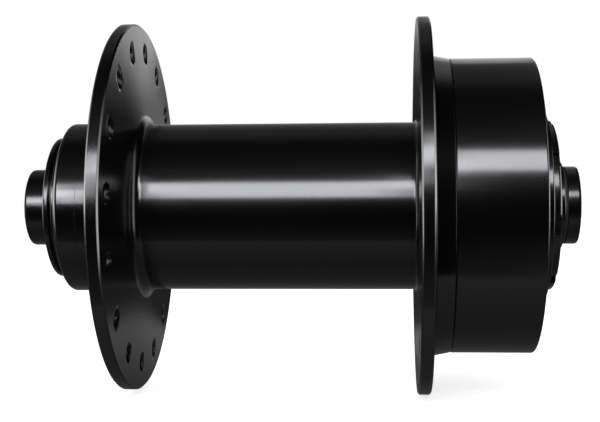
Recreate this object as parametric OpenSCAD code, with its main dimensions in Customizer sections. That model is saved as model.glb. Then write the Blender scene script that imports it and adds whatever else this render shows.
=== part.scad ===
// Front hub for a wire-spoked wheel. A hollow axle stays still in the fork, and
// a one-piece shell turns on two sealed ball bearings. The closed drum outside
// the right flange holds a ring of magnets that turns round a claw-pole winding.
// The axle lies along +Y with the drum on the +Y side, and +Z is up.
// Turned pieces are drawn as outlines of [radius, place along the axle].

/* [Overall] */
// Distance between the two end faces
overall_length = 135; // [125:0.5:160]
// Radial gap left where pieces are pressed, screwed or glued together
seat_gap = 0.02; // [0.01:0.01:0.04]
// Gap between a turning piece and a still one that it passes
running_gap = 0.4; // [0.3:0.05:0.6]

/* [Axle] */
// Diameter of the bore for the through bolt
through_bore_d = 12.1; // [11.5:0.1:12.5]
// Outside diameter of the axle tube, which is the bore of both bearings
axle_d = 17; // [16.6:0.1:17.4]
// Diameter of the turned-down axle ends
axle_end_d = 15; // [14.6:0.1:15.2]
// Length of an end cap beyond the axle's end
cap_floor = 3; // [2:0.1:4]
// Diameter of the axle collar beside the left bearing
axle_collar_d = 19.6; // [19:0.1:20.4]
// Length of the axle collar beside the left bearing
axle_collar_len = 2.5; // [1.5:0.1:4]

/* [Left end] */
// Outside diameter of the end caps
end_cap_d = 19; // [18.2:0.1:20]
// Length of the slight taper at the tip of the end caps
tip_taper_len = 0.5; // [0.3:0.1:1]
// Depth of that taper
tip_taper_depth = 0.15; // [0.1:0.05:0.3]
// Length of the left end cap that shows
left_stub_len = 6.9; // [4:0.1:9]
// Diameter of the dust cap's seat on the left end cap
dust_seat_d = 19.8; // [19.4:0.1:20.4]
// Diameter of the two lips of the dust cap
dust_lip_d = 34.8; // [33:0.1:38]
// Diameter at the bottom of the groove between the lips
dust_groove_d = 31.6; // [31.2:0.1:32.8]
// Width of the outer lip
dust_outer_lip = 1.2; // [0.8:0.1:2]
// Width of the groove between the lips
dust_groove_w = 0.8; // [0.6:0.1:1.4]
// Width of the inner lip
dust_inner_lip = 0.7; // [0.5:0.1:1.2]
// Gap between the dust cap and the bearing cover
dust_gap = 0.6; // [0.4:0.1:1]
// Depth that the dust cap reaches into the bearing cover
dust_spigot_len = 1.2; // [0.8:0.1:1.8]
// Radial clearance of the dust cap inside the bearing cover
dust_clearance = 0.6; // [0.4:0.1:1]

/* [Left boss] */
// Outside diameter of the bearing cover and of the shell behind it
boss_d = 42; // [40:0.1:45]
// Length of the bearing cover that shows
cover_len = 5.5; // [5:0.1:8]
// Edge radius of the bearing cover
cover_edge_r = 1.2; // [0.4:0.1:1.8]
// Depth that the bearing cover screws into the shell
cover_thread_len = 1.8; // [1.5:0.1:3]
// Length of the shell from the bearing cover to the left flange
boss_len = 8.7; // [7:0.1:12]

/* [Flanges] */
// Diameter of the left flange
left_flange_d = 91; // [88:0.5:96]
// Diameter of the right flange
right_flange_d = 92.5; // [88:0.5:98]
// Thickness of both flanges at the rim
flange_t = 3.1; // [2.6:0.1:4]
// How far the left flange's inner face slopes up from the rim to the tube
web_rise = 1.6; // [0.4:0.1:2]
// Chamfer on the flange rims
flange_chamfer = 0.4; // [0.2:0.1:0.9]
// Distance from a flange's rim to the centres of its spoke holes
spoke_inset = 6.6; // [5.5:0.1:7]
// Number of spoke holes in each flange
spoke_count = 16; // [12:2:18]
// Diameter of a spoke hole
spoke_hole_d = 3.2; // [2.6:0.1:3.4]
// Diameter of the countersink at both ends of a spoke hole
spoke_sink_d = 4.9; // [4:0.1:5]
// Angle of the left flange's first spoke hole above the +X side
spoke_phase = 5; // [0:0.5:20]

/* [Tube] */
// Outside diameter of the tube between the flanges
tube_d = 41.3; // [40:0.1:44]
// Wall of the tube
tube_wall = 2.5; // [2:0.1:3]
// Fillet between the tube and the left flange
left_tube_fillet = 2.6; // [1:0.1:4]
// Fillet between the tube and the right flange
right_tube_fillet = 1; // [0.6:0.1:3]

/* [Drum] */
// Outside diameter of the drum and of the neck that carries it
drum_d = 72.1; // [71:0.1:75]
// Length of the neck between the right flange and the drum
neck_len = 4.8; // [3.2:0.1:6]
// Fillet between the right flange and the neck
neck_fillet = 1; // [0.5:0.1:1.6]
// Rise of the neck's radius from the drum to the flange
neck_rise = 0.7; // [0.2:0.05:0.9]
// Length of the drum
drum_len = 19.9; // [19.4:0.1:26]
// Wall of the drum
drum_wall = 3.05; // [2.7:0.05:3.6]
// Thickness of the drum's end wall
drum_end_t = 2.5; // [2:0.1:3.2]
// Edge radius of the drum's end
drum_edge_r = 0.5; // [0.4:0.1:1.8]
// Wall of the neck round the drum's spigot
neck_wall = 1.4; // [1.2:0.05:1.6]
// Depth that the drum screws into the neck
drum_spigot_len = 3.1; // [2.6:0.1:3.1]
// Chamfer on both sides of the seam between neck and drum
seam_chamfer = 0.2; // [0.2:0.05:0.6]

/* [Right end] */
// Diameter of the raised seat on the drum's end
seat_ring_d = 47; // [44:0.1:50]
// Height of the raised seat
seat_ring_h = 2.8; // [2:0.1:3.5]
// Edge radius of the raised seat
seat_ring_edge_r = 0.3; // [0.2:0.1:1]
// Diameter of the notched lock ring
lock_ring_d = 41.4; // [39:0.1:43.4]
// Height of the lock ring above its seat
lock_ring_h = 2.1; // [1.4:0.1:2.4]
// Edge radius of the lock ring
lock_ring_edge_r = 0.7; // [0.3:0.1:1]
// Depth that the lock ring screws into its seat
lock_thread_len = 2.3; // [1.8:0.1:2.6]
// Number of spanner notches in the lock ring
lock_notch_count = 8; // [4:1:12]
// Width of a spanner notch
lock_notch_w = 4.6; // [3:0.1:6]
// Depth of a spanner notch
lock_notch_depth = 1.1; // [0.6:0.1:1.5]
// Diameter of the right end cap's collar
collar_d = 21.6; // [21:0.1:22.2]
// Length of the collar that shows
collar_len = 2.3; // [2:0.1:4]
// Edge radius of the collar
collar_edge_r = 0.3; // [0.2:0.1:0.8]
// Width of the ring groove beside the collar
ring_groove_w = 0.8; // [0.8:0.05:1.1]
// Diameter at the bottom of the ring groove
ring_groove_d = 17.5; // [17:0.1:17.7]
// Length of the right end cap outside the ring groove
right_stub_len = 3; // [2:0.1:4]

/* [Bearings] */
// Outside diameter of a bearing
bearing_d = 30; // [29:0.1:30.5]
// Width of a bearing
bearing_w = 7; // [6.5:0.1:7.5]
// Diameter of a bearing ball
ball_d = 4; // [3.6:0.1:4.2]
// Number of balls in a bearing
ball_count = 12; // [9:1:12]
// Clearance between a ball and its grooves and pockets
ball_gap = 0.08; // [0.06:0.01:0.12]
// Thickness of the bearing seals
bearing_seal_t = 0.4; // [0.3:0.05:0.5]
// Depth that a bearing seal lies below the side of its bearing
bearing_seal_inset = 0.15; // [0.1:0.05:0.25]
// Radial thickness of the ball cage
cage_t = 1.6; // [1.2:0.1:1.8]
// Width of the ball cage
cage_w = 5; // [4.8:0.1:5.2]
// Height of the stop that each bearing rests against
bearing_stop_h = 1.7; // [1.2:0.1:1.8]
// Thickness of that stop along the axle
bearing_stop_t = 1.2; // [1:0.1:1.6]

/* [Generator] */
// Thickness of the steel ring behind the magnets
flux_ring_t = 2; // [1.5:0.1:2.2]
// Thickness of the magnets
magnet_t = 2; // [1.6:0.1:2.4]
// Number of magnets, which is also the number of claws
magnet_count = 28; // [24:2:32]
// Gap between neighbouring magnets, as an angle
magnet_spacing = 1.2; // [0.8:0.1:2]
// Air gap between the magnets and the claws
air_gap = 0.5; // [0.4:0.05:0.7]
// Gap between the neck's floor and the winding assembly
stator_end_gap = 1.4; // [1:0.1:2]
// Thickness of a claw
claw_t = 2; // [1.5:0.1:2.4]
// Thickness of a claw plate
claw_plate_t = 1.8; // [1.4:0.1:2.2]
// Width of a claw, as an angle
claw_angle = 9.2; // [8:0.1:9.8]
// Diameter of the core inside the winding
core_d = 24; // [23:0.1:26]
// Wall of the bobbin
bobbin_wall = 0.8; // [0.6:0.1:1]
// Diameter of the nut that clamps the winding
stator_nut_d = 22.4; // [21.4:0.1:23]
// Length of that nut
stator_nut_len = 2.6; // [2.2:0.1:3.2]
// Diameter of the axle shoulder that the winding rests against
stator_shoulder_d = 22; // [20:0.1:24]
// Length of that shoulder
stator_shoulder_len = 2.5; // [1.5:0.1:4]

/* [Seals] */
// Section of the sealing ring in the drum's spigot
drum_seal_d = 1; // [0.9:0.05:1]
// Section of the rings that hold the end caps on
cap_ring_d = 1; // [0.9:0.05:1.1]
// Distance from the bearings to the rings that hold the end caps on
cap_ring_place = 3.4; // [2.6:0.1:4]
// Section of the ring beside the collar
collar_ring_d = 0.74; // [0.7:0.02:0.78]
// Width of the lip seals
lip_seal_w = 2; // [1.6:0.1:2.2]
// Thickness of the lip seals at their outer edge
lip_seal_t = 0.9; // [0.7:0.1:1.1]

/* [Wiring] */
// Diameter of a lead wire
wire_d = 0.9; // [0.7:0.05:0.95]
// Gap between the two lead wires
wire_spacing = 0.2; // [0.1:0.05:0.3]
// Width of the wire slot in the axle
wire_slot_w = 2.5; // [2.3:0.1:2.8]
// Room between the wires and the surface of the axle's right end
wire_cover = 0.1; // [0.05:0.05:0.15]
// Width of the terminal block
terminal_block_w = 10; // [9.5:0.5:12]
// Length of the terminal block along the axle
terminal_block_len = 2.4; // [2.2:0.1:2.6]
// Reach of the terminal block from the collar
terminal_block_reach = 6; // [5:0.5:8]
// Width of a terminal blade
blade_w = 2.8; // [2.4:0.1:3]
// Thickness of a terminal blade
blade_t = 0.5; // [0.4:0.05:0.6]
// Length of a terminal blade outside the block
blade_len = 6; // [4:0.5:7]

/* [Hidden] */

$fn = 96;
cut = 0.2;

// Places along the axle, from the left end to the left flange
left_end = -overall_length / 2;
dust_outer = left_end + left_stub_len;
dust_groove_start = dust_outer + dust_outer_lip;
dust_groove_end = dust_groove_start + dust_groove_w;
dust_inner = dust_groove_end + dust_inner_lip;
cover_outer = dust_inner + dust_gap;
dust_spigot_end = cover_outer + dust_spigot_len;
left_seam = cover_outer + cover_len;
left_bearing_outer = left_seam + cover_thread_len;
left_bearing_inner = left_bearing_outer + bearing_w;
left_flange_outer = left_seam + boss_len;
left_flange_inner = left_flange_outer + flange_t;

// Places along the axle, from the right end to the right flange
right_end = overall_length / 2;
ring_groove_end = right_end - right_stub_len;
ring_groove_start = ring_groove_end - ring_groove_w;
lock_ring_outer = ring_groove_start - collar_len;
seat_ring_outer = lock_ring_outer - lock_ring_h;
drum_outer = seat_ring_outer - seat_ring_h;
drum_inner = drum_outer - drum_end_t;
right_seam = drum_outer - drum_len;
drum_spigot_end = right_seam - drum_spigot_len;
right_flange_outer = right_seam - neck_len;
right_flange_inner = right_flange_outer - flange_t;
right_bearing_outer = seat_ring_outer - lock_thread_len;
right_bearing_inner = right_bearing_outer - bearing_w;

// Radii of the bearings
race_bore_r = axle_d / 2 + seat_gap;
bearing_seat_r = bearing_d / 2 + seat_gap;
ball_circle_r = (axle_d + bearing_d) / 4;
inner_land_r = ball_circle_r - 0.35 * ball_d;
outer_land_r = ball_circle_r + 0.35 * ball_d;
bearing_stop_r = bearing_d / 2 - bearing_stop_h;

// Radii of the shell and of the pieces screwed into it
cover_thread_r = bearing_d / 2 + 2.4;
cover_bore_r = bearing_d / 2 + 0.6;
lock_thread_r = bearing_d / 2 + 1.6;
tube_bore_r = tube_d / 2 - tube_wall;
drum_spigot_r = drum_d / 2 - neck_wall - seat_gap;
drum_bore_r = drum_d / 2 - drum_wall;
end_boss_r = bearing_d / 2 + 3;
lock_bore_r = outer_land_r - 0.4;

// Radii of the generator, from the drum inwards
flux_ring_r = drum_bore_r - seat_gap;
magnet_outer_r = flux_ring_r - flux_ring_t - seat_gap;
magnet_inner_r = magnet_outer_r - magnet_t;
claw_outer_r = magnet_inner_r - air_gap;
claw_inner_r = claw_outer_r - claw_t;
plate_r = claw_inner_r - running_gap;
bobbin_r = plate_r - running_gap;

// Places of the generator along the axle
stator_left = right_flange_outer + stator_end_gap;
stator_right = right_bearing_inner - stator_nut_len;
core_left = stator_left + claw_plate_t;
core_right = stator_right - claw_plate_t;
rotor_left = drum_spigot_end + running_gap;
rotor_right = stator_right + running_gap;

// Ends of the axle tube and of its turned-down ends
axle_left_shoulder = left_bearing_outer + 0.3;
axle_right_shoulder = right_bearing_outer - 0.3;
axle_left = left_end + cap_floor;
axle_right = right_end - cap_floor;
cap_socket_r = axle_end_d / 2 + seat_gap;

// Places of the wires, which run on the side away from +X
wire_side = (wire_d + wire_spacing) / 2;
wire_depth_r = axle_end_d / 2 - wire_cover - wire_d / 2;
wire_floor_r = wire_depth_r - wire_d / 2 - seat_gap;
wire_plate_place = stator_right - claw_plate_t / 2;
block_place = lock_ring_outer + running_gap + terminal_block_len / 2;
block_seat_r = collar_d / 2 + seat_gap;
blade_root_r = block_seat_r + terminal_block_reach / 2;
blade_side = wire_side + wire_d / 2 + seat_gap;

// Places of the small sealing rings
left_cap_ring_place = left_bearing_outer - cap_ring_place;
right_cap_ring_place = right_bearing_outer + cap_ring_place;
drum_seal_place = right_seam - drum_spigot_len / 2;

// Points of an arc, from one angle to another, where 90 points along +Y
function arc(r, place, radius, from, to, steps = 8) =
    [for (i = [0:steps])
        let (a = from + (to - from) * i / steps)
        [r + radius * cos(a), place + radius * sin(a)]];

// Outline of a plain ring
function ring(r_in, r_out, start, end) =
    [[r_in, start], [r_out, start], [r_out, end], [r_in, end]];

// Turns local Z to +Y, and local Y to -Z
module along_axle() {
    rotate([-90, 0, 0]) children();
}

module turned(outline) {
    along_axle() rotate_extrude() polygon(outline);
}

// Repeats its children round the axle
module round_axle(count, phase = 0) {
    along_axle()
        for (i = [0:count - 1])
            rotate([0, 0, i * 360 / count - phase]) children();
}

module o_ring(middle_r, place, section) {
    along_axle()
        translate([0, 0, place])
            rotate_extrude()
                translate([middle_r, 0]) circle(d = section, $fn = 24);
}

// A hole through a flange, countersunk at both ends
module spoke_hole(flange_r, place, web_t) {
    sink_depth = (spoke_sink_d - spoke_hole_d) / 2;
    translate([flange_r - spoke_inset, 0, place]) {
        translate([0, 0, -cut]) cylinder(d = spoke_hole_d, h = web_t + 2 * cut, $fn = 32);
        translate([0, 0, -cut])
            cylinder(d1 = spoke_sink_d + 2 * cut, d2 = spoke_hole_d, h = sink_depth + cut, $fn = 32);
        translate([0, 0, web_t - sink_depth])
            cylinder(d1 = spoke_hole_d, d2 = spoke_sink_d + 2 * cut, h = sink_depth + cut, $fn = 32);
    }
}

// One turned piece: bearing boss, left flange, tube, right flange and neck
module hub_shell() {
    boss_r = boss_d / 2;
    boss_fillet = 0.8;
    tube_r = tube_d / 2;
    left_r = left_flange_d / 2;
    right_r = right_flange_d / 2;
    neck_r = drum_d / 2;
    neck_slope = atan(neck_rise / (neck_len - neck_fillet - seam_chamfer));
    web_slope = atan(web_rise / (left_r - flange_chamfer - tube_r));
    fillet_place = left_flange_inner + left_tube_fillet / cos(web_slope)
        + (left_r - flange_chamfer - tube_r - left_tube_fillet) * tan(web_slope);
    stop_end = left_bearing_inner + bearing_stop_t;
    outline = concat(
        [[cover_thread_r, left_seam], [boss_r, left_seam]],
        arc(boss_r + boss_fillet, left_flange_outer - boss_fillet, boss_fillet, 180, 90, 4),
        [[left_r - flange_chamfer, left_flange_outer],
         [left_r, left_flange_outer + flange_chamfer],
         [left_r, left_flange_inner - flange_chamfer],
         [left_r - flange_chamfer, left_flange_inner]],
        arc(tube_r + left_tube_fillet, fillet_place, left_tube_fillet, 270 - web_slope, 180),
        arc(tube_r + right_tube_fillet, right_flange_inner - right_tube_fillet,
            right_tube_fillet, 180, 90),
        [[right_r - flange_chamfer, right_flange_inner],
         [right_r, right_flange_inner + flange_chamfer],
         [right_r, right_flange_outer - flange_chamfer],
         [right_r - flange_chamfer, right_flange_outer]],
        arc(neck_r + neck_rise + neck_fillet, right_flange_outer + neck_fillet,
            neck_fillet, 270, 180 + neck_slope),
        [[neck_r, right_seam - seam_chamfer],
         [neck_r - seam_chamfer, right_seam],
         [neck_r - neck_wall, right_seam],
         [neck_r - neck_wall, right_flange_outer],
         [tube_bore_r, right_flange_outer],
         [tube_bore_r, stop_end + tube_bore_r - bearing_stop_r],
         [bearing_stop_r, stop_end],
         [bearing_stop_r, left_bearing_inner],
         [bearing_seat_r, left_bearing_inner],
         [bearing_seat_r, left_bearing_outer],
         [cover_thread_r, left_bearing_outer]]);
    color([0.05, 0.05, 0.055])
    difference() {
        turned(outline);
        round_axle(spoke_count, spoke_phase)
            spoke_hole(left_r, left_flange_outer,
                flange_t + (spoke_inset - flange_chamfer) * tan(web_slope));
        round_axle(spoke_count, spoke_phase + 180 / spoke_count)
            spoke_hole(right_r, right_flange_inner, flange_t);
    }
}

// Threaded cap that holds the left bearing in the shell
module left_bearing_cover() {
    cover_r = boss_d / 2;
    mouth_chamfer = 0.4;
    color([0.06, 0.06, 0.065])
    turned(concat(
        [[cover_bore_r + mouth_chamfer, cover_outer]],
        arc(cover_r - cover_edge_r, cover_outer + cover_edge_r, cover_edge_r, -90, 0),
        [[cover_r, left_seam],
         [cover_thread_r - seat_gap, left_seam],
         [cover_thread_r - seat_gap, left_bearing_outer],
         [bearing_stop_r, left_bearing_outer],
         [bearing_stop_r, left_seam - cover_thread_len / 4],
         [cover_bore_r, left_seam - cover_thread_len / 4],
         [cover_bore_r, cover_outer + mouth_chamfer]]));
}

// Rubber lip seal in the bearing cover, round the left end cap
module left_cover_seal() {
    outer_r = cover_bore_r - seat_gap;
    lip_r = dust_seat_d / 2 + running_gap;
    end = left_seam - cover_thread_len / 4;
    color([0.12, 0.12, 0.12])
    turned([[outer_r, end - lip_seal_w], [outer_r, end],
            [lip_r + lip_seal_t, end],
            [lip_r, end - lip_seal_t],
            [lip_r, end - lip_seal_w / 2 - lip_seal_t / 2],
            [lip_r + lip_seal_t, end - lip_seal_t],
            [outer_r - lip_seal_t, end - lip_seal_t],
            [outer_r - lip_seal_t, end - lip_seal_w]]);
}

// Closed drum that screws into the shell's neck and carries the right bearing
module generator_housing() {
    drum_r = drum_d / 2;
    seat_r = seat_ring_d / 2;
    seat_fillet = 0.4;
    groove_half = drum_seal_d / 2 + seat_gap;
    color([0.05, 0.05, 0.055])
    turned(concat(
        [[drum_spigot_r, right_seam],
         [drum_r - seam_chamfer, right_seam],
         [drum_r, right_seam + seam_chamfer]],
        arc(drum_r - drum_edge_r, drum_outer - drum_edge_r, drum_edge_r, 0, 90),
        arc(seat_r + seat_fillet, drum_outer + seat_fillet, seat_fillet, 270, 180, 4),
        arc(seat_r - seat_ring_edge_r, seat_ring_outer - seat_ring_edge_r,
            seat_ring_edge_r, 0, 90),
        [[lock_thread_r, seat_ring_outer],
         [lock_thread_r, right_bearing_outer],
         [bearing_seat_r, right_bearing_outer],
         [bearing_seat_r, right_bearing_inner],
         [bearing_stop_r, right_bearing_inner],
         [bearing_stop_r, right_bearing_inner - bearing_stop_t],
         [end_boss_r, right_bearing_inner - bearing_stop_t],
         [end_boss_r, drum_inner],
         [drum_bore_r, drum_inner],
         [drum_bore_r, drum_spigot_end],
         [drum_spigot_r, drum_spigot_end],
         [drum_spigot_r, drum_seal_place - groove_half],
         [drum_spigot_r - drum_seal_d, drum_seal_place - groove_half],
         [drum_spigot_r - drum_seal_d, drum_seal_place + groove_half],
         [drum_spigot_r, drum_seal_place + groove_half]]));
}

// Rubber ring that keeps water out of the drum's thread
module housing_seal_ring() {
    color([0.1, 0.1, 0.1])
    o_ring(drum_spigot_r - drum_seal_d / 2 + seat_gap, drum_seal_place, drum_seal_d - seat_gap);
}

// Notched ring that holds the right bearing in the drum
module bearing_lock_ring() {
    ring_r = lock_ring_d / 2;
    color([0.07, 0.07, 0.075])
    difference() {
        turned(concat(
            [[lock_bore_r, right_bearing_outer + lock_thread_len / 2],
             [bearing_stop_r + 0.2, right_bearing_outer + lock_thread_len / 2],
             [bearing_stop_r + 0.2, right_bearing_outer],
             [lock_thread_r - seat_gap, right_bearing_outer],
             [lock_thread_r - seat_gap, seat_ring_outer],
             [ring_r, seat_ring_outer]],
            arc(ring_r - lock_ring_edge_r, lock_ring_outer - lock_ring_edge_r,
                lock_ring_edge_r, 0, 90),
            [[lock_bore_r + 0.3, lock_ring_outer],
             [lock_bore_r, lock_ring_outer - 0.3]]));
        round_axle(lock_notch_count, 33)
            translate([ring_r - lock_notch_depth, -lock_notch_w / 2, seat_ring_outer - cut])
                cube([lock_notch_depth + cut, lock_notch_w, lock_ring_h + 2 * cut]);
    }
}

// Rubber lip seal in the lock ring, round the right end cap's collar
module lock_ring_seal() {
    start = right_bearing_outer + lock_thread_len / 2;
    end = lock_ring_outer - running_gap;
    outer_r = lock_bore_r - seat_gap;
    lip_r = collar_d / 2 + running_gap;
    color([0.12, 0.12, 0.12])
    turned([[lip_r + 0.2, start], [outer_r, start], [outer_r, end], [lip_r, end]]);
}

// Soft steel ring that closes the magnetic path behind the magnets
module flux_ring() {
    color([0.45, 0.45, 0.47])
    turned(ring(flux_ring_r - flux_ring_t, flux_ring_r, rotor_left, rotor_right));
}

// Curved magnets glued inside the steel ring
module magnets() {
    arc_angle = 360 / magnet_count - magnet_spacing;
    color([0.7, 0.7, 0.72])
    round_axle(magnet_count)
        translate([0, 0, rotor_left])
            rotate_extrude(angle = arc_angle)
                translate([magnet_inner_r, 0]) square([magnet_t, rotor_right - rotor_left]);
}

// Half of a ball groove on one side of a race's land
function groove(from, to) =
    arc(ball_circle_r, 0, ball_d / 2 + ball_gap, from, to, 10);

function half_groove() =
    acos((ball_circle_r - inner_land_r) / (ball_d / 2 + ball_gap));

module outer_race(middle) {
    half = bearing_w / 2;
    chamfer = 0.3;
    race_r = bearing_d / 2;
    color([0.72, 0.73, 0.75])
    translate([0, middle, 0])
        turned(concat(
            [[outer_land_r, -half], [race_r - chamfer, -half], [race_r, -half + chamfer],
             [race_r, half - chamfer], [race_r - chamfer, half], [outer_land_r, half]],
            groove(half_groove(), -half_groove())));
}

module inner_race(middle) {
    half = bearing_w / 2;
    chamfer = 0.3;
    color([0.72, 0.73, 0.75])
    translate([0, middle, 0])
        turned(concat(
            [[inner_land_r, half], [race_bore_r + chamfer, half], [race_bore_r, half - chamfer],
             [race_bore_r, -half + chamfer], [race_bore_r + chamfer, -half],
             [inner_land_r, -half]],
            groove(180 + half_groove(), 180 - half_groove())));
}

module balls(middle) {
    color([0.85, 0.86, 0.88])
    translate([0, middle, 0])
        round_axle(ball_count)
            translate([ball_circle_r, 0, 0]) sphere(d = ball_d, $fn = 32);
}

// Moulded ring with a round window for each ball
module ball_cage(middle) {
    color([0.75, 0.7, 0.55])
    translate([0, middle, 0])
        difference() {
            turned(ring(ball_circle_r - cage_t / 2, ball_circle_r + cage_t / 2,
                        -cage_w / 2, cage_w / 2));
            round_axle(ball_count)
                rotate([0, 90, 0])
                    cylinder(d = ball_d + 2 * ball_gap, h = ball_circle_r + cage_t, $fn = 32);
        }
}

// The two rubber faced washers at the sides of a bearing, held by its outer race
module bearing_seals(middle) {
    outer_r = outer_land_r - seat_gap;
    inner_r = inner_land_r + 0.3;
    far = bearing_w / 2 - bearing_seal_inset;
    near = far - bearing_seal_t;
    color([0.15, 0.15, 0.17])
    translate([0, middle, 0]) {
        turned(ring(inner_r, outer_r, near, far));
        turned(ring(inner_r, outer_r, -far, -near));
    }
}

// The channel for the wires along the side away from +X
module wire_channel(from_r, to_r, start, end) {
    translate([-to_r, start, -wire_slot_w / 2])
        cube([to_r - from_r, end - start, wire_slot_w]);
}

// Hollow axle, turned down at both ends, slotted for the wires under the right bearing
module axle() {
    axle_r = axle_d / 2;
    end_r = axle_end_d / 2;
    bore_r = through_bore_d / 2;
    collar_r = axle_collar_d / 2;
    shoulder_r = stator_shoulder_d / 2;
    chamfer = 0.4;
    color([0.6, 0.61, 0.63])
    difference() {
        turned([[bore_r, axle_left], [end_r - chamfer, axle_left], [end_r, axle_left + chamfer],
                [end_r, axle_left_shoulder], [axle_r, axle_left_shoulder],
                [axle_r, left_bearing_inner], [collar_r, left_bearing_inner],
                [collar_r, left_bearing_inner + axle_collar_len],
                [axle_r, left_bearing_inner + axle_collar_len],
                [axle_r, stator_left - stator_shoulder_len],
                [shoulder_r, stator_left - stator_shoulder_len],
                [shoulder_r, stator_left], [axle_r, stator_left],
                [axle_r, axle_right_shoulder], [end_r, axle_right_shoulder],
                [end_r, axle_right - chamfer], [end_r - chamfer, axle_right],
                [bore_r, axle_right]]);
        wire_channel(wire_floor_r, axle_r + cut, core_right,
                     block_place + wire_d);
    }
}

// Outline of the socket and bore that both end caps have, from the bearing to the end
function cap_inside(bearing_side, ring_place, floor_place, end, way) = [
    [through_bore_d / 2, end],
    [through_bore_d / 2, floor_place],
    [cap_socket_r, floor_place],
    [cap_socket_r, ring_place + way * (cap_ring_d / 2 + seat_gap)],
    [cap_socket_r + cap_ring_d, ring_place + way * (cap_ring_d / 2 + seat_gap)],
    [cap_socket_r + cap_ring_d, ring_place - way * (cap_ring_d / 2 + seat_gap)],
    [cap_socket_r, ring_place - way * (cap_ring_d / 2 + seat_gap)],
    [cap_socket_r, bearing_side]];

// Sleeve that pushes onto the axle's left end and clamps the left bearing
module left_end_cap() {
    cap_r = end_cap_d / 2;
    seat_r = dust_seat_d / 2;
    color([0.08, 0.08, 0.085])
    turned(concat(
        [[seat_r, left_bearing_outer], [seat_r, dust_outer], [cap_r, dust_outer],
         [cap_r, left_end + tip_taper_len],
         [cap_r - tip_taper_depth, left_end]],
        cap_inside(left_bearing_outer, left_cap_ring_place, axle_left, left_end, -1)));
}

// Sleeve that pushes onto the axle's right end, with a collar and a ring groove
module right_end_cap() {
    cap_r = end_cap_d / 2;
    collar_r = collar_d / 2;
    nose_len = 0.6;
    wire_window = wire_d + wire_spacing;
    color([0.08, 0.08, 0.085])
    difference() {
        turned(concat(
            [[inner_land_r, right_bearing_outer],
             [inner_land_r, right_bearing_outer + nose_len],
             [collar_r, right_bearing_outer + nose_len]],
            arc(collar_r - collar_edge_r, ring_groove_start - collar_edge_r,
                collar_edge_r, 0, 90),
            [[ring_groove_d / 2, ring_groove_start],
             [ring_groove_d / 2, ring_groove_end],
             [cap_r, ring_groove_end],
             [cap_r, right_end - tip_taper_len],
             [cap_r - tip_taper_depth, right_end]],
            cap_inside(right_bearing_outer, right_cap_ring_place, axle_right, right_end, 1)));
        wire_channel(cap_socket_r - cut, collar_r + cut, block_place - wire_window / 2,
                     block_place + wire_window / 2);
    }
}

module cap_ring(place) {
    color([0.1, 0.1, 0.1])
    o_ring(cap_socket_r + cap_ring_d / 2, place, cap_ring_d - seat_gap);
}

// Cap with two thin lips that shields the left bearing and stays still
module left_dust_cap() {
    seat_r = dust_seat_d / 2 + seat_gap;
    lip_r = dust_lip_d / 2;
    spigot_r = cover_bore_r - dust_clearance;
    lip_chamfer = 0.15;
    hollow_r = dust_seat_d / 2 + 2;
    color([0.06, 0.06, 0.065])
    turned([[seat_r, dust_outer],
            [lip_r - 2 * lip_chamfer, dust_outer],
            [lip_r, dust_outer + 2 * lip_chamfer],
            [lip_r, dust_groove_start - lip_chamfer],
            [lip_r - lip_chamfer, dust_groove_start],
            [dust_groove_d / 2, dust_groove_start],
            [dust_groove_d / 2, dust_groove_end],
            [lip_r - lip_chamfer, dust_groove_end],
            [lip_r, dust_groove_end + lip_chamfer],
            [lip_r, dust_inner - lip_chamfer],
            [lip_r - lip_chamfer, dust_inner],
            [spigot_r, dust_inner],
            [spigot_r, dust_spigot_end],
            [spigot_r - 1, dust_spigot_end],
            [spigot_r - 1, dust_inner],
            [hollow_r, dust_inner],
            [hollow_r, dust_spigot_end],
            [seat_r, dust_spigot_end]]);
}

// Rubber ring that lies in the groove beside the collar
module collar_ring() {
    color([0.1, 0.1, 0.1])
    o_ring(ring_groove_d / 2 + collar_ring_d / 2 + seat_gap,
           (ring_groove_start + ring_groove_end) / 2, collar_ring_d);
}

// Steel plate with half of the claws, drawn from its outer face at local zero
module claw_plate(phase) {
    claw_len = stator_right - stator_left - running_gap;
    bore_r = axle_d / 2 + seat_gap;
    rotate_extrude() translate([bore_r, 0]) square([plate_r - bore_r, claw_plate_t]);
    for (i = [0:magnet_count / 2 - 1])
        rotate([0, 0, i * 720 / magnet_count + phase])
            rotate_extrude(angle = claw_angle)
                polygon([[plate_r - 1, 0], [claw_outer_r, 0], [claw_outer_r, claw_len],
                         [claw_inner_r, claw_len], [claw_inner_r, claw_plate_t],
                         [plate_r - 1, claw_plate_t]]);
}

module left_claw_plate() {
    color([0.4, 0.41, 0.43])
    along_axle() translate([0, 0, stator_left]) claw_plate(0);
}

// The second plate has its claws in the gaps of the first, and a notch for the wires
module right_claw_plate() {
    color([0.4, 0.41, 0.43])
    difference() {
        along_axle()
            translate([0, 0, stator_right])
                mirror([0, 0, 1]) claw_plate(360 / magnet_count);
        wire_channel(axle_d / 2 - cut, core_d / 2 + bobbin_wall + wire_d, core_right - cut,
                     stator_right + cut);
    }
}

// Steel sleeve inside the winding, clamped between the two plates
module stator_core() {
    color([0.42, 0.43, 0.45])
    turned(ring(axle_d / 2 + seat_gap, core_d / 2, core_left, core_right));
}

// Plastic spool that carries the winding
module coil_bobbin() {
    inner_r = core_d / 2 + seat_gap;
    color([0.85, 0.82, 0.72])
    turned([[inner_r, core_left], [bobbin_r, core_left],
            [bobbin_r, core_left + bobbin_wall],
            [inner_r + bobbin_wall, core_left + bobbin_wall],
            [inner_r + bobbin_wall, core_right - bobbin_wall],
            [bobbin_r, core_right - bobbin_wall],
            [bobbin_r, core_right], [inner_r, core_right]]);
}

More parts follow.
